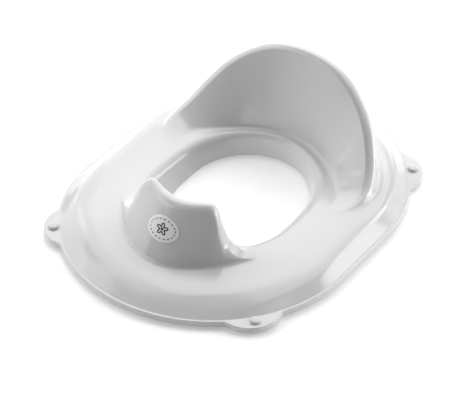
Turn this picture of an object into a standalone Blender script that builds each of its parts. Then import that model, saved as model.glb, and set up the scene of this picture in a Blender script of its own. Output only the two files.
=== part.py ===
"""Toilet seat reducer for small children.

One injection-moulded shell (oval deck, funnel round the child's opening,
splash guard at the front, wrap-round backrest at the back, flange with four
corner tabs), four push-in soft feet, one oval badge on the splash guard.

World frame: +Z up, +Y to the back (backrest), +X to the sitter's left when
facing the guard.  The origin is on the surface that the feet stand on, in the
middle of the object.  The lengths below are millimetres and are turned into
metres where the meshes are made.
"""
import math

import bmesh
import bpy
import numpy as np
from mathutils import Vector
from mathutils.bvhtree import BVHTree

MM = 0.001
GAP = 0.3                 # clearance between pieces that touch

# ------------------------------------------------------------ driving sizes
WALL = 2.6                # wall of the moulding
STAND = 2.0               # the feet lift the rim by this much
FUNNEL = 1.0              # the opening's edge hangs below the rim by this much

# flange, seen from above: straight sides, elliptical ends
HALF_WIDTH = 147.5
FRONT_CENTRE, FRONT_LENGTH = 39.5, 144.5
BACK_CENTRE, BACK_LENGTH = 36.5, 147.5
RIM_HEIGHT = 5.5          # vertical edge of the flange
LEDGE = 2.5               # flat ledge between rim and skirt

# corner tabs
TAB_X, TAB_Y, TAB_R = 100.0, 120.5, 30.3
TAB_FILLET = 3.0
FOOT_X, FOOT_Y = 116.0, 134.3

# round-cornered section of the shell; every table is (angle, value), with the
# angle in degrees from the front (0) round the side (90) to the back (180)
HOLE_R = [(0, 70), (25, 68), (46, 65.3), (57, 63.8), (68, 62.3), (80, 60.7), (92, 60.2), (105, 62.3), (121, 67), (136, 71.6), (146, 74.1), (160, 77.2), (180, 79)]
LIP_R = [(0, 80), (25, 83), (36, 87.5), (44, 89.3), (51, 87.3), (60, 84), (66.5, 81.2), (75, 77), (82, 74.9), (90, 73.6), (105, 74), (118, 75.7), (129, 78), (139, 79.4), (150, 80), (180, 80.6)]
LIP_Z = [(0, 20), (60, 20), (90, 20), (120, 20.3), (135, 21.2), (150, 22.3), (180, 23)]
BASE_IN_R = [(0, 84), (22, 87), (32, 93), (40, 98.5), (47, 98.5), (53, 97), (60, 93), (75, 88), (90, 86), (105, 92), (120, 94.5), (135, 93), (150, 92.5), (180, 92)]
BASE_IN_LIFT = [(0, 0.24), (60, 0.24), (104, 0), (180, 0)]
CREST_R = [(0, 97.5), (12, 95), (21, 93), (25, 94), (28, 96.5), (31, 98.5), (35, 100.5), (41, 103), (47, 102.5), (53, 99.5), (60, 95.5), (75, 90.5), (90, 89.5), (98, 98), (105, 110.5), (120, 125.5), (135, 129.5), (150, 127), (165, 123), (180, 121.5)]
BASE_OUT_R = [(0, 132), (12, 128.7), (20, 123.5), (27, 118.5), (34, 114), (40, 111), (47, 110), (60, 110), (90, 111), (105, 120), (120, 133), (135, 138), (150, 138), (180, 136)]
BASE_OUT_Z = [(0, 17.2), (12, 17.6), (20, 18.2), (34, 19.3), (47, 19.9), (60, 20.1), (90, 20.1), (105, 20.2), (120, 20.5), (150, 20.5), (180, 20.5)]
# the outer deck line and the skirt's shoulder, inwards from the flange edge
DECK_IN = [(0, 29), (35, 29), (60, 29.5), (90, 29), (104, 27), (120, 24.5), (150, 24), (180, 25)]
DECK_Z = [(0, 15.2), (30, 15.5), (60, 18.1), (90, 19.6), (105, 19.7), (120, 19.7), (150, 19.4), (180, 19)]
SKIRT_IN = [(0, 14), (30, 13.8), (60, 15.5), (90, 16.5), (120, 16), (180, 15.5)]
SKIRT_Z = [(0, 10.6), (30, 11), (60, 15.1), (90, 18.2), (120, 18.2), (180, 17.6)]

# rise of the two folds above the deck
BACKREST = [(96, 0), (104, 0.9), (112, 3.7), (120, 9.8), (130, 27.8), (140, 50.9), (150, 68.6), (160, 79.9), (170, 85.1), (180, 86.7)]
GUARD = [(0, 50), (10, 50.2), (17, 50.7), (21, 51), (23.8, 50), (25.8, 47.2), (27.1, 43.2), (28.2, 37.3), (29.2, 29.6), (30.1, 23), (31, 18.6), (32.1, 15), (33.7, 11.3), (35.7, 8), (38, 5.1), (42, 2.2), (47, 0.6), (52, 0)]
# width of a fold across its crest
FOLD_TOP = [(0, 12.7), (12, 11.2), (21, 9.2), (26, 9.5), (35, 11), (60, 11), (180, 11)]
FOLD_FLAT = 3.0           # the same where the fold has died out
LEAN = 2.2                # degrees by which the guard's outer edge drops sooner than its inner edge
# the guard's ends flare outwards by this much at their top
FLARE = [(0, 0), (12, 0), (20, 0.4), (23, 1.2), (25, 2.2), (26, 3.3), (27, 5), (28, 6.6), (29, 7.3), (30, 7.5), (32, 7.2), (34, 6.5), (37, 5.1), (41, 3.2), (47, 1), (55, 0), (180, 0)]

# fillet radii along the section
R_LIP = [(0, 10), (40, 14), (90, 14), (115, 12), (129, 10), (140, 7.5), (180, 6)]
R_SKIRT = [(0, 90), (30, 80), (48, 48), (60, 34), (90, 20), (120, 15), (180, 15)]
R_DECK = [(0, 90), (30, 100), (60, 90), (90, 80), (180, 80)]
R_CREST, R_FOOT, R_EDGE = 5.6, 1.2, 0.8
R_CREST_OUT = [(0, 12), (15, 12), (20, 12.5), (24, 15), (26, 27), (27.5, 46), (29.5, 46), (31, 30), (33, 19), (36, 13), (40, 11), (60, 6), (104, 5.6), (180, 5.6)]
R_BASE_IN = [(0, 30), (45, 25), (105, 40), (125, 16), (140, 6), (160, 4.5), (180, 4.5)]
R_BASE_OUT = [(0, 6), (28, 7), (34, 12), (39, 40), (45, 160), (55, 300), (90, 320), (100, 200), (108, 60), (116, 22), (130, 12), (180, 10)]

# feet and badge
HEAD_R, HEAD_H = 5.2, 2.9
STEM_R = 3.4
PAD_R = 6.0
BADGE_W, BADGE_H, BADGE_T = 17.3, 12.3, 0.8
BADGE_Z = 46.0            # height of the badge's centre above the rim's bottom

STATIONS = 128            # sections round the shell
# facets across each fillet, from the hole to the flange, top and underside
TOP_FACETS = (0, 3, 2, 2, 2, 2, 1, 3, 0, 0, 0)
LOW_FACETS = (0, 1, 1, 1, 1, 1, 1, 2, 0, 0, 0)


# ------------------------------------------------------------------ helpers
def cubic(x, y, p):
    """Smooth curve through the points (x, y), level at both ends, read at p."""
    n, h = len(x), np.diff(x)
    a, b = np.zeros((n, n)), np.zeros(n)
    a[0, 0] = a[-1, -1] = 1.0
    for i in range(1, n - 1):
        a[i, i - 1], a[i, i + 1] = 1 / h[i - 1], 1 / h[i]
        a[i, i] = 2 * (1 / h[i - 1] + 1 / h[i])
        b[i] = 3 * ((y[i] - y[i - 1]) / h[i - 1] ** 2 + (y[i + 1] - y[i]) / h[i] ** 2)
    m = np.linalg.solve(a, b)
    i = np.clip(np.searchsorted(x, p) - 1, 0, n - 2)
    t = (p - x[i]) / h[i]
    return ((2 * t**3 - 3 * t**2 + 1) * y[i] + (t**3 - 2 * t**2 + t) * h[i] * m[i]
            + (3 * t**2 - 2 * t**3) * y[i + 1] + (t**3 - t**2) * h[i] * m[i + 1])


def table(keys, deg):
    k = np.array(keys, float)
    inside = (deg >= k[0, 0]) & (deg <= k[-1, 0])
    v = cubic(k[:, 0], k[:, 1], np.clip(deg, k[0, 0], k[-1, 0]))
    return np.where(inside, v, 0.0)


def flange_radius(deg):
    """Distance from the middle to the flange's edge, straight sides and ellipses."""
    s, c = np.abs(np.sin(np.radians(deg))), np.cos(np.radians(deg))
    h = np.where(c > 0, FRONT_CENTRE, BACK_CENTRE)
    b = np.where(c > 0, FRONT_LENGTH, BACK_LENGTH)
    c = np.abs(c)
    side = HALF_WIDTH / np.maximum(s, 1e-9)
    qa = s * s / HALF_WIDTH**2 + c * c / b**2
    qb = -2 * c * h / b**2
    qc = h * h / b**2 - 1
    end = (-qb + np.sqrt(np.maximum(qb * qb - 4 * qa * qc, 0))) / (2 * qa)
    return np.where(side * c <= h, side, end)


def tab_radius(deg):
    """Distance from the middle to a corner tab's edge, 0 where there is none."""
    p = np.minimum(deg, 180 - deg)
    reach, d = math.hypot(TAB_X, TAB_Y), np.radians(p) - math.atan2(TAB_X, TAB_Y)
    q = TAB_R**2 - (reach * np.sin(d))**2
    return np.where(q > 0, reach * np.cos(d) + np.sqrt(np.maximum(q, 0)), 0.0)


def soft_max(a, b, k):
    h = np.maximum(k - np.abs(a - b), 0) / k
    return np.maximum(a, b) + h * h * k * 0.25


def station_angles(count):
    """Angles round the shell, closer together over the tabs and the guard's ends."""
    fine = np.linspace(0, 180, 3601)
    tab = math.degrees(math.atan2(TAB_X, TAB_Y))
    density = (1 + 1.3 * np.exp(-((fine - tab - 2) / 11)**2) + 1.3 * np.exp(-((fine - 180 + tab) / 11)**2)
               + 1.6 * np.exp(-((fine - 29) / 6)**2) + 2.4 * np.exp(-((fine - 28) / 2.5)**2))
    run = np.concatenate([[0], np.cumsum((density[1:] + density[:-1]) / 2)])
    half = np.interp(np.linspace(0, run[-1], count // 2 + 1), run, fine)
    return np.concatenate([half, 360 - half[-2:0:-1]])


def section_corners(angle):
    """The section's corner points (radius, height) and fillet radii, per angle."""
    deg = np.abs((angle + 180) % 360 - 180)
    rim = flange_radius(deg)
    edge = soft_max(rim, tab_radius(deg), TAB_FILLET)
    hole, lip_r, lip_z = table(HOLE_R, deg), table(LIP_R, deg), table(LIP_Z, deg)
    in_r, crest, out_r = table(BASE_IN_R, deg), table(CREST_R, deg), table(BASE_OUT_R, deg)
    out_z = table(BASE_OUT_Z, deg)
    rise = np.maximum(table(BACKREST, deg), 0) + np.maximum(table(GUARD, deg), 0)
    share = rise / (rise + 6)
    half = 0.5 * (table(FOLD_TOP, deg) * share + FOLD_FLAT * (1 - share))
    outer = crest + half + table(FLARE, deg)
    drop = table(GUARD, deg) - table(GUARD, deg + LEAN)

    def deck(r):
        return lip_z + (out_z - lip_z) * (r - lip_r) / (out_r - lip_r)

    def top(r):
        return deck(crest) * share + deck(r) * (1 - share) + rise

    points = [(hole, 0 * deg - FUNNEL), (lip_r, lip_z), (in_r, deck(in_r) + table(BASE_IN_LIFT, deg) * rise),
              (crest - half, top(crest - half)), (outer, top(outer) - drop), (out_r, out_z),
              (rim - table(DECK_IN, deg), table(DECK_Z, deg)), (rim - table(SKIRT_IN, deg), table(SKIRT_Z, deg)),
              (rim - LEDGE, RIM_HEIGHT + 0 * deg), (edge, RIM_HEIGHT + 0 * deg), (edge, 0 * deg)]
    radii = [0, table(R_LIP, deg), table(R_BASE_IN, deg), R_CREST, table(R_CREST_OUT, deg), table(R_BASE_OUT, deg),
             table(R_DECK, deg), table(R_SKIRT, deg), R_FOOT, R_EDGE, 0]
    corners = np.stack([np.stack(p, -1) for p in points], 1)
    return corners, np.stack([r + 0 * deg for r in radii], 1)


def moved_in(corners, radii, wall):
    """The underside's corners: each side of the section moved in by the wall."""
    step = np.diff(corners, axis=1)
    step /= np.linalg.norm(step, axis=2, keepdims=True)
    inward = np.stack([step[..., 1], -step[..., 0]], -1)
    a, b = inward[:, :-1], inward[:, 1:]
    shift = (a + b) / (1 + (a * b).sum(-1, keepdims=True))
    low = corners.copy()
    low[:, 1:-1] += wall * shift
    slope = step[:, 0, 0] / step[:, 0, 1]
    low[:, 0, 0] = low[:, 1, 0] - slope * (low[:, 1, 1] + FUNNEL)
    low[:, -1, 0] -= wall
    turn = step[:, :-1, 0] * step[:, 1:, 1] - step[:, :-1, 1] * step[:, 1:, 0]
    r = radii.copy()
    r[:, 1:-1] = np.maximum(r[:, 1:-1] + np.where(turn > 0, 1, -1) * wall, 0.5)
    return low, r


def rounded(corners, radii, facets):
    """Section points: the corners with their fillets, as a row of points each."""
    side = np.diff(corners, axis=1)
    length = np.linalg.norm(side, axis=2)
    unit = side / length[..., None]
    turns = np.arccos(np.clip((unit[:, :-1] * unit[:, 1:]).sum(-1), -1, 1))
    turns = np.pad(turns, ((0, 0), (1, 1)))
    # how far each fillet reaches back along its sides; two fillets share a side
    reach = np.maximum(radii * np.tan(turns / 2), np.where(turns > 0, 0.6, 0))
    share = np.minimum(1, 0.94 * length / np.maximum(reach[:, :-1] + reach[:, 1:], 1e-9))
    reach[:, 1:-1] *= np.minimum(share[:, :-1], share[:, 1:])
    rows = [corners[:, 0]]
    for i in range(1, corners.shape[1] - 1):
        if facets[i] == 0:
            rows.append(corners[:, i])
            continue
        u, v, turn, back = unit[:, i - 1], unit[:, i], turns[:, i], reach[:, i, None]
        bow = np.where(turn > 1e-3, 4 / 3 * np.tan(turn / 4) / np.maximum(np.tan(turn / 2), 1e-9), 2 / 3)[:, None]
        p0, p3 = corners[:, i] - u * back, corners[:, i] + v * back
        p1, p2 = p0 + u * back * bow, p3 - v * back * bow
        for s in np.linspace(0, 1, facets[i] + 1):
            rows.append((1 - s)**3 * p0 + 3 * (1 - s)**2 * s * p1 + 3 * (1 - s) * s * s * p2 + s**3 * p3)
    rows.append(corners[:, -1])
    return np.stack(rows, 1)


def in_space(angle, rows):
    a = np.radians(angle)[:, None]
    r, z = rows[..., 0], rows[..., 1]
    return np.stack([r * np.sin(a), -r * np.cos(a), z + STAND], -1) * MM


def material(name, colour, roughness, **extra):
    m = bpy.data.materials.new(name)
    m.use_nodes = True
    shader = m.node_tree.nodes["Principled BSDF"]
    shader.inputs["Base Color"].default_value = (*colour, 1)
    shader.inputs["Roughness"].default_value = roughness
    shader.inputs["Metallic"].default_value = 0.0
    for key, value in extra.items():
        shader.inputs[key.replace("_", " ")].default_value = value
    m.diffuse_color = (*colour, 1)
    return m


def new_object(name, bm, mat, parent=None, smooth=True):
    bmesh.ops.recalc_face_normals(bm, faces=bm.faces)
    mesh = bpy.data.meshes.new(name)
    bm.to_mesh(mesh)
    bm.free()
    if smooth:
        mesh.shade_smooth()
        mesh.set_sharp_from_angle(angle=math.radians(35))
    ob = bpy.data.objects.new(name, mesh)
    bpy.context.scene.collection.objects.link(ob)
    ob.data.materials.append(mat)
    ob.parent = parent
    return ob


# ------------------------------------------------------------------- pieces
def make_shell(mat, parent):
    """Closed sections round the opening: top side out, underside back."""
    angle = station_angles(STATIONS)
    corners, radii = section_corners(angle)
    low, low_radii = moved_in(corners, radii, WALL)
    over = in_space(angle, rounded(corners, radii, TOP_FACETS))
    under = in_space(angle, rounded(low, low_radii, LOW_FACETS))
    ring = np.concatenate([over, under[:, ::-1]], 1)
    n, m, _ = ring.shape
    bm = bmesh.new()
    v = [[bm.verts.new(ring[i, j]) for j in range(m)] for i in range(n)]
    for i in range(n):
        for j in range(m):
            bm.faces.new((v[i][j], v[(i + 1) % n][j], v[(i + 1) % n][(j + 1) % m], v[i][(j + 1) % m]))
    bmesh.ops.recalc_face_normals(bm, faces=bm.faces)
    tree = BVHTree.FromBMesh(bm)
    ob = new_object("seat_shell", bm, mat, parent)
    # a hole in each tab for the foot's stem
    for k, (sx, sy) in enumerate(((-1, -1), (1, -1), (-1, 1), (1, 1))):
        cutter = bmesh.new()
        bmesh.ops.create_cone(cutter, cap_ends=True, segments=20, radius1=(STEM_R + GAP) * MM,
                              radius2=(STEM_R + GAP) * MM, depth=12 * MM)
        cut = new_object("stem_cutter_%d" % k, cutter, mat, parent, smooth=False)
        cut.location = (sx * FOOT_X * MM, sy * FOOT_Y * MM, (STAND + RIM_HEIGHT) * MM)
        cut.hide_render = True
        cut.display_type = "WIRE"
        boolean = ob.modifiers.new("stem_hole_%d" % k, "BOOLEAN")
        boolean.operation = "DIFFERENCE"
        boolean.object = cut
        boolean.solver = "EXACT"
    return ob, tree


def make_foot(name, sx, sy, mat, parent):
    """Soft foot turned from one profile: domed head, stem through the tab, pad."""
    top = STAND + RIM_HEIGHT
    plate = top - WALL
    profile = [(0, 0), (PAD_R - 0.8, 0), (PAD_R, 0.8), (PAD_R, plate - GAP - 0.4), (PAD_R - 0.4, plate - GAP),
               (STEM_R, plate - GAP), (STEM_R, top + GAP), (HEAD_R, top + GAP)]
    for k in range(1, 4):
        t = math.radians(90 * k / 4)
        profile.append((HEAD_R - 2.6 + 2.6 * math.cos(t), top + GAP + 0.5 + (HEAD_H - 0.8) * math.sin(t)))
    profile += [(1.6, top + HEAD_H), (0, top + HEAD_H + 0.1)]
    bm = bmesh.new()
    verts = [bm.verts.new((r * MM, 0, z * MM)) for r, z in profile]
    edges = [bm.edges.new((a, b)) for a, b in zip(verts, verts[1:])]
    bmesh.ops.spin(bm, geom=verts + edges, cent=(0, 0, 0), axis=(0, 0, 1), angle=2 * math.pi,
                   steps=16, use_merge=True, use_duplicate=False)
    bmesh.ops.remove_doubles(bm, verts=bm.verts, dist=1e-6)
    ob = new_object(name, bm, mat, parent)
    ob.location = (sx * FOOT_X * MM, sy * FOOT_Y * MM, 0)
    return ob


def make_badge(tree, mat, parent):
    """Thin oval badge that follows the curved front of the splash guard."""
    aim = Vector((0, -0.4, (BADGE_Z + STAND) * MM))
    centre, normal, _, _ = tree.ray_cast(aim, Vector((0, 1, 0)))
    normal = Vector((0, normal.y, normal.z)).normalized()
    side = Vector((1, 0, 0))
    rise = normal.cross(side)
    rings, spokes = 4, 32

    def on_shell(u, w, lift):
        start = centre + (side * u + rise * w) * MM + normal * 0.03
        hit, n, _, _ = tree.ray_cast(start, -normal)
        return hit + normal * lift * MM

    bm = bmesh.new()
    layers = []
    for lift in (GAP, GAP + BADGE_T):
        mid = bm.verts.new(on_shell(0, 0, lift))
        grid = []
        for i in range(1, rings + 1):
            bevel = 0.25 if lift > GAP and i == rings else 0
            grid.append([bm.verts.new(on_shell((BADGE_W * i / rings - bevel) * math.cos(2 * math.pi * k / spokes),
                                               (BADGE_H * i / rings - bevel) * math.sin(2 * math.pi * k / spokes), lift))
                         for k in range(spokes)])
        layers.append((mid, grid))
    for mid, grid in layers:
        for k in range(spokes):
            q = (k + 1) % spokes
            bm.faces.new((mid, grid[0][k], grid[0][q]))
            for a, b in zip(grid, grid[1:]):
                bm.faces.new((a[k], b[k], b[q], a[q]))
    low, high = layers[0][1][-1], layers[1][1][-1]
    for k in range(spokes):
        q = (k + 1) % spokes
        bm.faces.new((low[k], high[k], high[q], low[q]))
    return new_object("badge_disc", bm, mat, parent)


def main():
    for ob in list(bpy.data.objects):
        bpy.data.objects.remove(ob, do_unlink=True)
    base = bpy.data.objects.new("seat_reducer", None)
    bpy.context.scene.collection.objects.link(base)
    white = material("white_polypropylene", (0.72, 0.72, 0.725), 0.14)
    soft = material("white_soft_rubber", (0.72, 0.72, 0.72), 0.42)
    print_face = material("badge_off_white", (0.9, 0.9, 0.86), 0.35)
    shell, tree = make_shell(white, base)
    for name, sx, sy in (("foot_front_left", -1, -1), ("foot_front_right", 1, -1),
                         ("foot_rear_left", -1, 1), ("foot_rear_right", 1, 1)):
        make_foot(name, sx, sy, soft, base)
    make_badge(tree, print_face, base)


main()
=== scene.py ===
"""Looks of the toilet seat reducer: fine surface, finishes, studio."""
import math

import bmesh
import bpy
import numpy as np
from mathutils import Matrix, Vector
from mathutils.bvhtree import BVHTree


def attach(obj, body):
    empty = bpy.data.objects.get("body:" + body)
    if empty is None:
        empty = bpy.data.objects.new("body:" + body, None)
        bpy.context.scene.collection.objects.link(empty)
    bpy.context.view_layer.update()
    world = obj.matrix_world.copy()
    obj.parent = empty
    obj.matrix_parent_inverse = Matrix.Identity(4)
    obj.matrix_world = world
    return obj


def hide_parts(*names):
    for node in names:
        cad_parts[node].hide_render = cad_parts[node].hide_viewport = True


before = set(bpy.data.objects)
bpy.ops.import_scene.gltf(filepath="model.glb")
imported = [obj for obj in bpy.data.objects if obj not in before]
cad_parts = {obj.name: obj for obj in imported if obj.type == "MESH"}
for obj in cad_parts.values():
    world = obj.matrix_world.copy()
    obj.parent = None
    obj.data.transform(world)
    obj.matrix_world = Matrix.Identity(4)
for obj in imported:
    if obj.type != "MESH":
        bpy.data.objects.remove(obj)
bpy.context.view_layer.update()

MM = 0.001
GAP = 0.3                 # clearance between pieces that touch

# ------------------------------------------------------------ driving sizes
WALL = 2.6                # wall of the moulding
STAND = 2.0               # the feet lift the rim by this much
FUNNEL = 1.0              # the opening's edge hangs below the rim by this much

# flange, seen from above: straight sides, elliptical ends
HALF_WIDTH = 147.5
FRONT_CENTRE, FRONT_LENGTH = 39.5, 144.5
BACK_CENTRE, BACK_LENGTH = 36.5, 147.5
RIM_HEIGHT = 5.5          # vertical edge of the flange
LEDGE = 2.5               # flat ledge between rim and skirt

# corner tabs
TAB_X, TAB_Y, TAB_R = 100.0, 120.5, 30.3
TAB_FILLET = 3.0
FOOT_X, FOOT_Y = 116.0, 134.3

# round-cornered section of the shell; every table is (angle, value), with the
# angle in degrees from the front (0) round the side (90) to the back (180)
HOLE_R = [(0, 70), (25, 68), (46, 65.3), (57, 63.8), (68, 62.3), (80, 60.7), (92, 60.2), (105, 62.3), (121, 67), (136, 71.6), (146, 74.1), (160, 77.2), (180, 79)]
LIP_R = [(0, 80), (25, 83), (36, 87.5), (44, 89.3), (51, 87.3), (60, 84), (66.5, 81.2), (75, 77), (82, 74.9), (90, 73.6), (105, 74), (118, 75.7), (129, 78), (139, 79.4), (150, 80), (180, 80.6)]
LIP_Z = [(0, 20), (60, 20), (90, 20), (120, 20.3), (135, 21.2), (150, 22.3), (180, 23)]
BASE_IN_R = [(0, 84), (22, 87), (32, 93), (40, 98.5), (47, 98.5), (53, 97), (60, 93), (75, 88), (90, 86), (105, 92), (120, 94.5), (135, 93), (150, 92.5), (180, 92)]
BASE_IN_LIFT = [(0, 0.24), (60, 0.24), (104, 0), (180, 0)]
CREST_R = [(0, 97.5), (12, 95), (21, 93), (25, 94), (28, 96.5), (31, 98.5), (35, 100.5), (41, 103), (47, 102.5), (53, 99.5), (60, 95.5), (75, 90.5), (90, 89.5), (98, 98), (105, 110.5), (120, 125.5), (135, 129.5), (150, 127), (165, 123), (180, 121.5)]
BASE_OUT_R = [(0, 132), (12, 128.7), (20, 123.5), (27, 118.5), (34, 114), (40, 111), (47, 110), (60, 110), (90, 111), (105, 120), (120, 133), (135, 138), (150, 138), (180, 136)]
BASE_OUT_Z = [(0, 17.2), (12, 17.6), (20, 18.2), (34, 19.3), (47, 19.9), (60, 20.1), (90, 20.1), (105, 20.2), (120, 20.5), (150, 20.5), (180, 20.5)]
# the outer deck line and the skirt's shoulder, inwards from the flange edge
DECK_IN = [(0, 29), (35, 29), (60, 29.5), (90, 29), (104, 27), (120, 24.5), (150, 24), (180, 25)]
DECK_Z = [(0, 15.2), (30, 15.5), (60, 18.1), (90, 19.6), (105, 19.7), (120, 19.7), (150, 19.4), (180, 19)]
SKIRT_IN = [(0, 14), (30, 13.8), (60, 15.5), (90, 16.5), (120, 16), (180, 15.5)]
SKIRT_Z = [(0, 10.6), (30, 11), (60, 15.1), (90, 18.2), (120, 18.2), (180, 17.6)]

# rise of the two folds above the deck
BACKREST = [(96, 0), (104, 0.9), (112, 3.7), (120, 9.8), (130, 27.8), (140, 50.9), (150, 68.6), (160, 79.9), (170, 85.1), (180, 86.7)]
GUARD = [(0, 50), (10, 50.2), (17, 50.7), (21, 51), (23.8, 50), (25.8, 47.2), (27.1, 43.2), (28.2, 37.3), (29.2, 29.6), (30.1, 23), (31, 18.6), (32.1, 15), (33.7, 11.3), (35.7, 8), (38, 5.1), (42, 2.2), (47, 0.6), (52, 0)]
# width of a fold across its crest
FOLD_TOP = [(0, 12.7), (12, 11.2), (21, 9.2), (26, 9.5), (35, 11), (60, 11), (180, 11)]
FOLD_FLAT = 3.0           # the same where the fold has died out
LEAN = 2.2                # degrees by which the guard's outer edge drops sooner than its inner edge
# the guard's ends flare outwards by this much at their top
FLARE = [(0, 0), (12, 0), (20, 0.4), (23, 1.2), (25, 2.2), (26, 3.3), (27, 5), (28, 6.6), (29, 7.3), (30, 7.5), (32, 7.2), (34, 6.5), (37, 5.1), (41, 3.2), (47, 1), (55, 0), (180, 0)]

# fillet radii along the section
R_LIP = [(0, 10), (40, 14), (90, 14), (115, 12), (129, 10), (140, 7.5), (180, 6)]
R_SKIRT = [(0, 90), (30, 80), (48, 48), (60, 34), (90, 20), (120, 15), (180, 15)]
R_DECK = [(0, 90), (30, 100), (60, 90), (90, 80), (180, 80)]
R_CREST, R_FOOT, R_EDGE = 5.6, 1.2, 0.8
R_CREST_OUT = [(0, 12), (15, 12), (20, 12.5), (24, 15), (26, 27), (27.5, 46), (29.5, 46), (31, 30), (33, 19), (36, 13), (40, 11), (60, 6), (104, 5.6), (180, 5.6)]
R_BASE_IN = [(0, 30), (45, 25), (105, 40), (125, 16), (140, 6), (160, 4.5), (180, 4.5)]
R_BASE_OUT = [(0, 6), (28, 7), (34, 12), (39, 40), (45, 160), (55, 300), (90, 320), (100, 200), (108, 60), (116, 22), (130, 12), (180, 10)]

# feet and badge
HEAD_R, HEAD_H = 5.2, 2.9
STEM_R = 3.4
PAD_R = 6.0
BADGE_W, BADGE_H, BADGE_T = 17.3, 12.3, 0.8
BADGE_Z = 46.0            # height of the badge's centre above the rim's bottom



# ------------------------------------------------------------------ helpers
def cubic(x, y, p):
    """Smooth curve through the points (x, y), level at both ends, read at p."""
    n, h = len(x), np.diff(x)
    a, b = np.zeros((n, n)), np.zeros(n)
    a[0, 0] = a[-1, -1] = 1.0
    for i in range(1, n - 1):
        a[i, i - 1], a[i, i + 1] = 1 / h[i - 1], 1 / h[i]
        a[i, i] = 2 * (1 / h[i - 1] + 1 / h[i])
        b[i] = 3 * ((y[i] - y[i - 1]) / h[i - 1] ** 2 + (y[i + 1] - y[i]) / h[i] ** 2)
    m = np.linalg.solve(a, b)
    i = np.clip(np.searchsorted(x, p) - 1, 0, n - 2)
    t = (p - x[i]) / h[i]
    return ((2 * t**3 - 3 * t**2 + 1) * y[i] + (t**3 - 2 * t**2 + t) * h[i] * m[i]
            + (3 * t**2 - 2 * t**3) * y[i + 1] + (t**3 - t**2) * h[i] * m[i + 1])


def table(keys, deg):
    k = np.array(keys, float)
    inside = (deg >= k[0, 0]) & (deg <= k[-1, 0])
    v = cubic(k[:, 0], k[:, 1], np.clip(deg, k[0, 0], k[-1, 0]))
    return np.where(inside, v, 0.0)


def flange_radius(deg):
    """Distance from the middle to the flange's edge, straight sides and ellipses."""
    s, c = np.abs(np.sin(np.radians(deg))), np.cos(np.radians(deg))
    h = np.where(c > 0, FRONT_CENTRE, BACK_CENTRE)
    b = np.where(c > 0, FRONT_LENGTH, BACK_LENGTH)
    c = np.abs(c)
    side = HALF_WIDTH / np.maximum(s, 1e-9)
    qa = s * s / HALF_WIDTH**2 + c * c / b**2
    qb = -2 * c * h / b**2
    qc = h * h / b**2 - 1
    end = (-qb + np.sqrt(np.maximum(qb * qb - 4 * qa * qc, 0))) / (2 * qa)
    return np.where(side * c <= h, side, end)


def tab_radius(deg):
    """Distance from the middle to a corner tab's edge, 0 where there is none."""
    p = np.minimum(deg, 180 - deg)
    reach, d = math.hypot(TAB_X, TAB_Y), np.radians(p) - math.atan2(TAB_X, TAB_Y)
    q = TAB_R**2 - (reach * np.sin(d))**2
    return np.where(q > 0, reach * np.cos(d) + np.sqrt(np.maximum(q, 0)), 0.0)


def soft_max(a, b, k):
    h = np.maximum(k - np.abs(a - b), 0) / k
    return np.maximum(a, b) + h * h * k * 0.25


def station_angles(count):
    """Angles round the shell, closer together over the tabs and the guard's ends."""
    fine = np.linspace(0, 180, 3601)
    tab = math.degrees(math.atan2(TAB_X, TAB_Y))
    density = (1 + 1.3 * np.exp(-((fine - tab - 2) / 11)**2) + 1.3 * np.exp(-((fine - 180 + tab) / 11)**2)
               + 1.6 * np.exp(-((fine - 29) / 6)**2) + 2.4 * np.exp(-((fine - 28) / 2.5)**2))
    run = np.concatenate([[0], np.cumsum((density[1:] + density[:-1]) / 2)])
    half = np.interp(np.linspace(0, run[-1], count // 2 + 1), run, fine)
    return np.concatenate([half, 360 - half[-2:0:-1]])


def section_corners(angle):
    """The section's corner points (radius, height) and fillet radii, per angle."""
    deg = np.abs((angle + 180) % 360 - 180)
    rim = flange_radius(deg)
    edge = soft_max(rim, tab_radius(deg), TAB_FILLET)
    hole, lip_r, lip_z = table(HOLE_R, deg), table(LIP_R, deg), table(LIP_Z, deg)
    in_r, crest, out_r = table(BASE_IN_R, deg), table(CREST_R, deg), table(BASE_OUT_R, deg)
    out_z = table(BASE_OUT_Z, deg)
    rise = np.maximum(table(BACKREST, deg), 0) + np.maximum(table(GUARD, deg), 0)
    share = rise / (rise + 6)
    half = 0.5 * (table(FOLD_TOP, deg) * share + FOLD_FLAT * (1 - share))
    outer = crest + half + table(FLARE, deg)
    drop = table(GUARD, deg) - table(GUARD, deg + LEAN)

    def deck(r):
        return lip_z + (out_z - lip_z) * (r - lip_r) / (out_r - lip_r)

    def top(r):
        return deck(crest) * share + deck(r) * (1 - share) + rise

    points = [(hole, 0 * deg - FUNNEL), (lip_r, lip_z), (in_r, deck(in_r) + table(BASE_IN_LIFT, deg) * rise),
              (crest - half, top(crest - half)), (outer, top(outer) - drop), (out_r, out_z),
              (rim - table(DECK_IN, deg), table(DECK_Z, deg)), (rim - table(SKIRT_IN, deg), table(SKIRT_Z, deg)),
              (rim - LEDGE, RIM_HEIGHT + 0 * deg), (edge, RIM_HEIGHT + 0 * deg), (edge, 0 * deg)]
    radii = [0, table(R_LIP, deg), table(R_BASE_IN, deg), R_CREST, table(R_CREST_OUT, deg), table(R_BASE_OUT, deg),
             table(R_DECK, deg), table(R_SKIRT, deg), R_FOOT, R_EDGE, 0]
    corners = np.stack([np.stack(p, -1) for p in points], 1)
    return corners, np.stack([r + 0 * deg for r in radii], 1)


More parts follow.
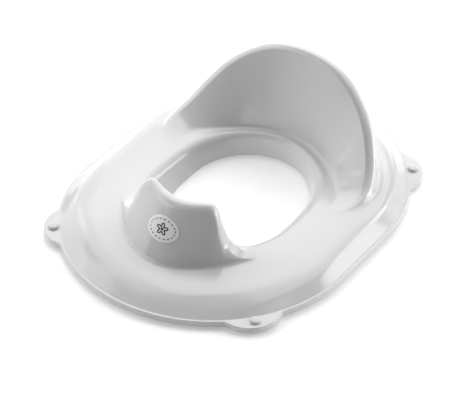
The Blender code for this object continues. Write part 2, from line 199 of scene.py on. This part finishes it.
def moved_in(corners, radii, wall):
    """The underside's corners: each side of the section moved in by the wall."""
    step = np.diff(corners, axis=1)
    step /= np.linalg.norm(step, axis=2, keepdims=True)
    inward = np.stack([step[..., 1], -step[..., 0]], -1)
    a, b = inward[:, :-1], inward[:, 1:]
    shift = (a + b) / (1 + (a * b).sum(-1, keepdims=True))
    low = corners.copy()
    low[:, 1:-1] += wall * shift
    slope = step[:, 0, 0] / step[:, 0, 1]
    low[:, 0, 0] = low[:, 1, 0] - slope * (low[:, 1, 1] + FUNNEL)
    low[:, -1, 0] -= wall
    turn = step[:, :-1, 0] * step[:, 1:, 1] - step[:, :-1, 1] * step[:, 1:, 0]
    r = radii.copy()
    r[:, 1:-1] = np.maximum(r[:, 1:-1] + np.where(turn > 0, 1, -1) * wall, 0.5)
    return low, r


def rounded(corners, radii, facets):
    """Section points: the corners with their fillets, as a row of points each."""
    side = np.diff(corners, axis=1)
    length = np.linalg.norm(side, axis=2)
    unit = side / length[..., None]
    turns = np.arccos(np.clip((unit[:, :-1] * unit[:, 1:]).sum(-1), -1, 1))
    turns = np.pad(turns, ((0, 0), (1, 1)))
    # how far each fillet reaches back along its sides; two fillets share a side
    reach = np.maximum(radii * np.tan(turns / 2), np.where(turns > 0, 0.6, 0))
    share = np.minimum(1, 0.94 * length / np.maximum(reach[:, :-1] + reach[:, 1:], 1e-9))
    reach[:, 1:-1] *= np.minimum(share[:, :-1], share[:, 1:])
    rows = [corners[:, 0]]
    for i in range(1, corners.shape[1] - 1):
        if facets[i] == 0:
            rows.append(corners[:, i])
            continue
        u, v, turn, back = unit[:, i - 1], unit[:, i], turns[:, i], reach[:, i, None]
        bow = np.where(turn > 1e-3, 4 / 3 * np.tan(turn / 4) / np.maximum(np.tan(turn / 2), 1e-9), 2 / 3)[:, None]
        p0, p3 = corners[:, i] - u * back, corners[:, i] + v * back
        p1, p2 = p0 + u * back * bow, p3 - v * back * bow
        for s in np.linspace(0, 1, facets[i] + 1):
            rows.append((1 - s)**3 * p0 + 3 * (1 - s)**2 * s * p1 + 3 * (1 - s) * s * s * p2 + s**3 * p3)
    rows.append(corners[:, -1])
    return np.stack(rows, 1)


def in_space(angle, rows):
    a = np.radians(angle)[:, None]
    r, z = rows[..., 0], rows[..., 1]
    return np.stack([r * np.sin(a), -r * np.cos(a), z + STAND], -1) * MM


# ------------------------------------------------------------- fine surface
STATIONS = 720
TOP_FACETS = (0, 14, 12, 10, 10, 12, 10, 16, 4, 4, 0)
LOW_FACETS = (0, 4, 4, 3, 3, 4, 4, 6, 1, 1, 0)


def new_piece(name, bm, mat, angle=40):
    bmesh.ops.recalc_face_normals(bm, faces=bm.faces)
    mesh = bpy.data.meshes.new(name)
    bm.to_mesh(mesh)
    bm.free()
    mesh.shade_smooth()
    mesh.set_sharp_from_angle(angle=math.radians(angle))
    ob = bpy.data.objects.new(name, mesh)
    bpy.context.scene.collection.objects.link(ob)
    ob.data.materials.append(mat)
    return ob


def make_shell(mat):
    angle = station_angles(STATIONS)
    corners, radii = section_corners(angle)
    low, low_radii = moved_in(corners, radii, WALL)
    over = in_space(angle, rounded(corners, radii, TOP_FACETS))
    under = in_space(angle, rounded(low, low_radii, LOW_FACETS))
    ring = np.concatenate([over, under[:, ::-1]], 1)
    n, m, _ = ring.shape
    bm = bmesh.new()
    v = [[bm.verts.new(ring[i, j]) for j in range(m)] for i in range(n)]
    for i in range(n):
        for j in range(m):
            bm.faces.new((v[i][j], v[(i + 1) % n][j], v[(i + 1) % n][(j + 1) % m], v[i][(j + 1) % m]))
    bmesh.ops.recalc_face_normals(bm, faces=bm.faces)
    tree = BVHTree.FromBMesh(bm)
    return new_piece("shell_surface", bm, mat), tree


def make_foot(name, sx, sy, mat):
    top = STAND + RIM_HEIGHT
    plate = top - WALL
    profile = [(0, 0.02), (PAD_R - 1.0, 0.02)]
    for k in range(1, 5):
        t = math.radians(90 * k / 4)
        profile.append((PAD_R - 1.0 + math.sin(t), 1.02 - math.cos(t)))
    profile += [(PAD_R, plate - GAP - 0.5), (PAD_R - 0.15, plate - GAP - 0.15), (PAD_R - 0.5, plate - GAP),
                (STEM_R, plate - GAP), (STEM_R, top + 0.05), (HEAD_R - 0.2, top + 0.05), (HEAD_R, top + 0.2)]
    for k in range(0, 13):
        t = math.radians(90 * k / 12)
        profile.append((HEAD_R - 2.4 + 2.4 * math.cos(t), top + 0.6 + (HEAD_H - 0.75) * math.sin(t)))
    profile += [(HEAD_R * 0.28, top + HEAD_H - 0.1), (0, top + HEAD_H - 0.05)]
    bm = bmesh.new()
    verts = [bm.verts.new((r * MM, 0, z * MM)) for r, z in profile]
    edges = [bm.edges.new((a, b)) for a, b in zip(verts, verts[1:])]
    bmesh.ops.spin(bm, geom=verts + edges, cent=(0, 0, 0), axis=(0, 0, 1), angle=2 * math.pi,
                   steps=72, use_merge=True, use_duplicate=False)
    bmesh.ops.remove_doubles(bm, verts=bm.verts, dist=1e-6)
    ob = new_piece(name, bm, mat, 50)
    ob.location = (sx * FOOT_X * MM, sy * FOOT_Y * MM, 0)
    return ob


def badge_frame(tree):
    aim = Vector((0, -0.4, (BADGE_Z + STAND) * MM))
    centre, normal, _, _ = tree.ray_cast(aim, Vector((0, 1, 0)))
    normal = Vector((0, normal.y, normal.z)).normalized()
    side = Vector((1, 0, 0))
    rise = normal.cross(side)
    return centre, normal, side, rise


def make_badge(tree, mat):
    centre, normal, side, rise = badge_frame(tree)
    rings, spokes = 14, 96

    def on_shell(u, w, lift):
        start = centre + (side * u + rise * w) * MM + normal * 0.03
        hit, n, _, _ = tree.ray_cast(start, -normal)
        return hit + normal * lift * MM

    bm = bmesh.new()
    layers = []
    for lift in (0.05, BADGE_T):
        mid = bm.verts.new(on_shell(0, 0, lift))
        grid = []
        for i in range(1, rings + 1):
            inset, drop = 0.0, 0.0
            if lift > 0.1 and i == rings:
                inset, drop = 0.06, 0.12
            if lift > 0.1 and i == rings - 1:
                inset = 0.3 - BADGE_H / rings
            grid.append([bm.verts.new(on_shell((BADGE_W * i / rings - inset) * math.cos(2 * math.pi * k / spokes),
                                               (BADGE_H * i / rings - inset) * math.sin(2 * math.pi * k / spokes),
                                               lift - drop))
                         for k in range(spokes)])
        layers.append((mid, grid))
    for mid, grid in layers:
        for k in range(spokes):
            q = (k + 1) % spokes
            bm.faces.new((mid, grid[0][k], grid[0][q]))
            for a, b in zip(grid, grid[1:]):
                bm.faces.new((a[k], b[k], b[q], a[q]))
    low, high = layers[0][1][-1], layers[1][1][-1]
    for k in range(spokes):
        q = (k + 1) % spokes
        bm.faces.new((low[k], high[k], high[q], low[q]))
    return new_piece("badge_face", bm, mat, 35)


def make_print(tree, mat):
    """Plain navy pattern on the badge: a rosette, a dot and a ring of dashes, as thin raised strokes."""
    centre, normal, side, rise = badge_frame(tree)
    bm = bmesh.new()

    def on_badge(u, w, lift):
        hit, _, _, _ = tree.ray_cast(centre + (side * u + rise * w) * MM + normal * 0.03, -normal)
        return bm.verts.new(hit + normal * (BADGE_T + lift) * MM)

    def stroke(points, width, closed):
        p = np.array(points, float)
        along = (np.roll(p, -1, 0) - np.roll(p, 1, 0)) if closed else np.gradient(p, axis=0)
        along /= np.linalg.norm(along, axis=1, keepdims=True)
        out = np.stack([-along[:, 1], along[:, 0]], 1) * width / 2
        rows = []
        for (u, w), (a, b) in zip(p, out):
            rows.append([on_badge(u - a, w - b, 0.02), on_badge(u - a, w - b, 0.10),
                         on_badge(u + a, w + b, 0.10), on_badge(u + a, w + b, 0.02)])
        pairs = list(zip(rows, rows[1:] + rows[:1])) if closed else list(zip(rows, rows[1:]))
        for a, b in pairs:
            for k in range(4):
                bm.faces.new((a[k], b[k], b[(k + 1) % 4], a[(k + 1) % 4]))
        if not closed:
            bm.faces.new(rows[0])
            bm.faces.new(rows[-1][::-1])

    turn = np.linspace(0, 2 * math.pi, 160, endpoint=False)
    petals = 4.4 + 1.7 * np.cos(5 * turn)
    stroke(np.stack([petals * np.sin(turn), 0.92 * petals * np.cos(turn)], 1), 1.15, True)
    small = np.linspace(0, 2 * math.pi, 32, endpoint=False)
    stroke(np.stack([1.0 * np.sin(small), 1.0 * np.cos(small)], 1), 1.1, True)
    for k in range(18):
        arc = np.radians(np.linspace(20 * k - 5, 20 * k + 5, 8))
        stroke(np.stack([13.6 * np.sin(arc), 9.2 * np.cos(arc)], 1), 0.8, False)
    return new_piece("badge_print", bm, mat, 35)


# ---------------------------------------------------------------- materials
def node_material(name, colour, roughness, bump=0.0, scale=400.0, coat=0.0, ior=1.49):
    m = bpy.data.materials.new(name)
    m.use_nodes = True
    t = m.node_tree
    s = t.nodes["Principled BSDF"]
    s.inputs["Metallic"].default_value = 0.0
    s.inputs["IOR"].default_value = ior
    s.inputs["Coat Weight"].default_value = coat
    co = t.nodes.new("ShaderNodeTexCoord")
    fine = t.nodes.new("ShaderNodeTexNoise")
    fine.inputs["Scale"].default_value = scale
    fine.inputs["Detail"].default_value = 3
    broad = t.nodes.new("ShaderNodeTexNoise")
    broad.inputs["Scale"].default_value = 9.0
    broad.inputs["Detail"].default_value = 2
    t.links.new(co.outputs["Object"], fine.inputs["Vector"])
    t.links.new(co.outputs["Object"], broad.inputs["Vector"])
    mix = t.nodes.new("ShaderNodeMix")
    mix.data_type = "RGBA"
    mix.inputs["A"].default_value = (*[c * 0.985 for c in colour], 1)
    mix.inputs["B"].default_value = (*[min(1, c * 1.01) for c in colour], 1)
    t.links.new(broad.outputs["Fac"], mix.inputs["Factor"])
    t.links.new(mix.outputs["Result"], s.inputs["Base Color"])
    rough = t.nodes.new("ShaderNodeMapRange")
    rough.inputs["To Min"].default_value = roughness * 0.9
    rough.inputs["To Max"].default_value = roughness * 1.12
    t.links.new(broad.outputs["Fac"], rough.inputs["Value"])
    t.links.new(rough.outputs["Result"], s.inputs["Roughness"])
    if bump:
        b = t.nodes.new("ShaderNodeBump")
        b.inputs["Strength"].default_value = bump
        b.inputs["Distance"].default_value = 0.0001
        t.links.new(fine.outputs["Fac"], b.inputs["Height"])
        t.links.new(b.outputs["Normal"], s.inputs["Normal"])
    return m


white = node_material("moulded_white", (0.68, 0.68, 0.685), 0.13, bump=0.02, scale=300, ior=1.58)
soft = node_material("soft_rubber_white", (0.68, 0.68, 0.68), 0.42, bump=0.15, scale=900)
badge_mat = node_material("badge_off_white", (0.93, 0.93, 0.89), 0.3, bump=0.05, scale=900)
ink = node_material("badge_ink", (0.012, 0.016, 0.05), 0.4, bump=0.05, scale=900)

shell, tree = make_shell(white)
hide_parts("seat_shell")
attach(shell, "root")
for name, sx, sy in (("front_left", -1, -1), ("front_right", 1, -1), ("rear_left", -1, 1), ("rear_right", 1, 1)):
    foot = make_foot("soft_foot_" + name, sx, sy, soft)
    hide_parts("foot_" + name)
    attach(foot, "root")
badge = make_badge(tree, badge_mat)
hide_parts("badge_disc")
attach(badge, "root")
pattern = make_print(tree, ink)
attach(pattern, "root")

# ------------------------------------------------------------------- studio
def softbox(name, azimuth, elevation, size, radiance, distance=2.0):
    """Square soft light that looks at the object; azimuth from the front, to the right."""
    a, e = math.radians(azimuth), math.radians(elevation)
    at = Vector((math.sin(a) * math.cos(e), -math.cos(a) * math.cos(e), math.sin(e))) * distance
    data = bpy.data.lights.new(name, "AREA")
    data.shape = "RECTANGLE"
    data.size, data.size_y = size
    data.energy = radiance * math.pi * size[0] * size[1]
    ob = bpy.data.objects.new(name, data)
    bpy.context.scene.collection.objects.link(ob)
    ob.matrix_world = Matrix.LocRotScale(at, (-at).to_track_quat("-Z", "Y"), None)
    return ob


bm = bmesh.new()
bmesh.ops.create_grid(bm, x_segments=4, y_segments=4, size=4.0)
floor_mesh = bpy.data.meshes.new("studio_floor")
bm.to_mesh(floor_mesh)
bm.free()
floor = bpy.data.objects.new("studio_floor", floor_mesh)
bpy.context.scene.collection.objects.link(floor)
floor_white = node_material("floor_white", (0.93, 0.93, 0.93), 0.7)
for node in floor_white.node_tree.nodes:
    if node.bl_idname == "ShaderNodeBsdfPrincipled":
        # a light table: the floor glows a little, so the shadow on it stays faint
        node.inputs["Emission Color"].default_value = (1, 1, 1, 1)
        node.inputs["Emission Strength"].default_value = 0.2
floor.data.materials.append(floor_white)

def ceiling_panel(name, along, across, radiance, height=2.0):
    """Flat soft light overhead at the back; its sides run along (u) and across (v)."""
    corner, u, v = Vector((-0.47, 0.58, height)), Vector((0.552, 0.834, 0)), Vector((-0.834, 0.552, 0))
    data = bpy.data.lights.new(name, "AREA")
    data.shape = "RECTANGLE"
    data.size, data.size_y = along[1] - along[0], across[1] - across[0]
    data.energy = radiance * math.pi * data.size * data.size_y
    ob = bpy.data.objects.new(name, data)
    bpy.context.scene.collection.objects.link(ob)
    at = corner + u * sum(along) / 2 + v * sum(across) / 2
    ob.matrix_world = Matrix.Translation(at) @ Matrix((u, v, u.cross(v))).transposed().to_4x4()
    return ob


ceiling_panel("overhead_back", (0.05, 0.9), (0.0, 1.9), 2.9)
ceiling_panel("overhead_back_deep", (0.9, 1.9), (0.0, 1.9), 2.18)
ceiling_panel("overhead_back_far", (0.05, 1.9), (1.9, 3.2), 2.09)
ceiling_panel("overhead_back_left", (-0.35, 0.05), (0.0, 1.9), 2.89)
ceiling_panel("overhead_far_left", (-0.8, 0.05), (1.9, 3.2), 1.63)
ceiling_panel("overhead_left", (-0.8, -0.35), (0.45, 1.9), 1.99)
ceiling_panel("overhead_left_front", (-0.8, -0.35), (0.0, 0.45), 1.33)
ceiling_panel("overhead_right", (0.05, 1.9), (-1.0, 0.0), 1.75)
softbox("right_low", 125.5, 10, (0.9, 0.7), 7.3)
softbox("right_low_back", 157.5, 10, (1.0, 0.7), 0.55)
softbox("right_mid", 139.5, 33, (0.9, 0.6), 4.7)
softbox("right_mid_back", 153.5, 24, (0.7, 0.6), 1.35)
softbox("right_top", 90.5, 60, (0.6, 0.6), 1.4)
softbox("front_right", 80.5, 25, (1.0, 1.0), 0.5)
softbox("back_low", 215.5, 6, (2.4, 0.5), 2.29)
softbox("back", 215.5, 20.5, (2.6, 0.55), 2.1)
softbox("left_back", 270.5, 28, (1.4, 1.1), 1.78)
softbox("left_low", 295.5, 8, (1.5, 0.5), 1.55)
softbox("left_high", 283, 49, (1.0, 0.5), 1.8)
softbox("left", 313.5, 30, (1.3, 1.2), 2.1)

world = bpy.data.worlds.new("studio")
world.use_nodes = True
world.node_tree.nodes["Background"].inputs["Color"].default_value = (0.9, 0.9, 0.9, 1)
world.node_tree.nodes["Background"].inputs["Strength"].default_value = 0.02
bpy.context.scene.world = world
bpy.context.scene.view_settings.view_transform = "Standard"

# camera at the photograph's angle: azimuth, elevation and roll in degrees
AZ, EL, ROLL, DIST, LENS = 35.4624, 39.0663, -0.3924, 2.2, 178.47
a, e, r = map(math.radians, (AZ, EL, ROLL))
back = Vector((math.sin(a) * math.cos(e), -math.cos(a) * math.cos(e), math.sin(e)))
right = Vector((math.cos(a), math.sin(a), 0))
up = back.cross(right)
right, up = math.cos(r) * right + math.sin(r) * up, -math.sin(r) * right + math.cos(r) * up
target = Vector((0.0121125, -0.0186041, 0.020 + STAND * MM)) - right * 0.00047 + up * 0.00047
cam = bpy.data.cameras.new("camera")
cam.lens = LENS
cam.sensor_width = 36.0
cam.clip_start, cam.clip_end = 0.05, 20.0
cam_ob = bpy.data.objects.new("camera", cam)
bpy.context.scene.collection.objects.link(cam_ob)
cam_ob.matrix_world = Matrix.Translation(target + back * DIST) @ Matrix((right, up, back)).transposed().to_4x4()
bpy.context.scene.camera = cam_ob
